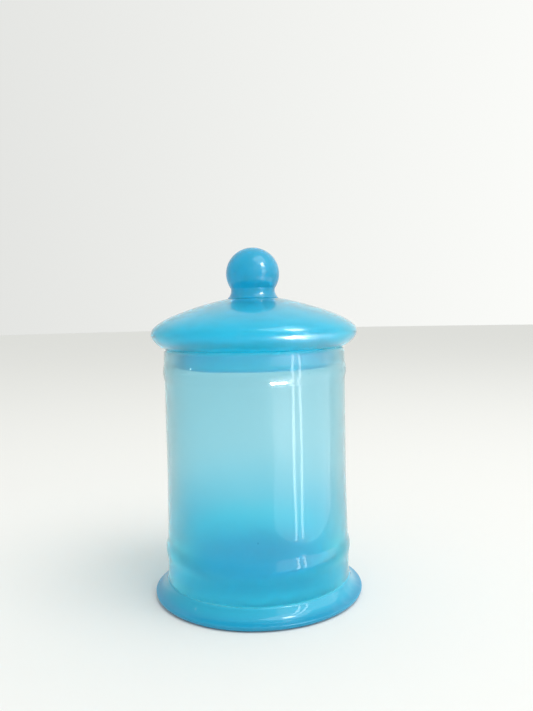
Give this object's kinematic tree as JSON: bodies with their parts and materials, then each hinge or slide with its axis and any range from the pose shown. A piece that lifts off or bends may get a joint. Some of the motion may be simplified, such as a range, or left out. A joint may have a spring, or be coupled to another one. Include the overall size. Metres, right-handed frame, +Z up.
{
  "type": "apothecary jar",
  "caption": "Round footed apothecary jar of milky blue glass with a domed lift-off lid and a ball knob, for holding small dry goods.",
  "frame": {"origin": "centre of the foot's resting face, on the surface the jar stands on", "axes": "+Z up along the jar's axis of revolution; X and Y are equal because every piece is turned about Z"},
  "size_m": [0.1148, 0.1148, 0.1894],
  "materials": {
    "vessel_glass": "gloss, milky opaline",
    "foot_glass": "gloss, milky opaline, solid",
    "lid_glass": "gloss, milky opaline",
    "knob_glass": "gloss, milky opaline, solid"
  },
  "bodies": {
    "jar": {"jar_body": "vessel_glass", "jar_foot": "foot_glass"},
    "lid": {"lid_shell": "lid_glass", "lid_knob": "knob_glass"}
  },
  "joints": [
    {"name": "lid_lift", "type": "slide", "parent": "jar", "child": "lid", "axis": [0, 0, 1], "range_m": [0, 0.08]}
  ]
}
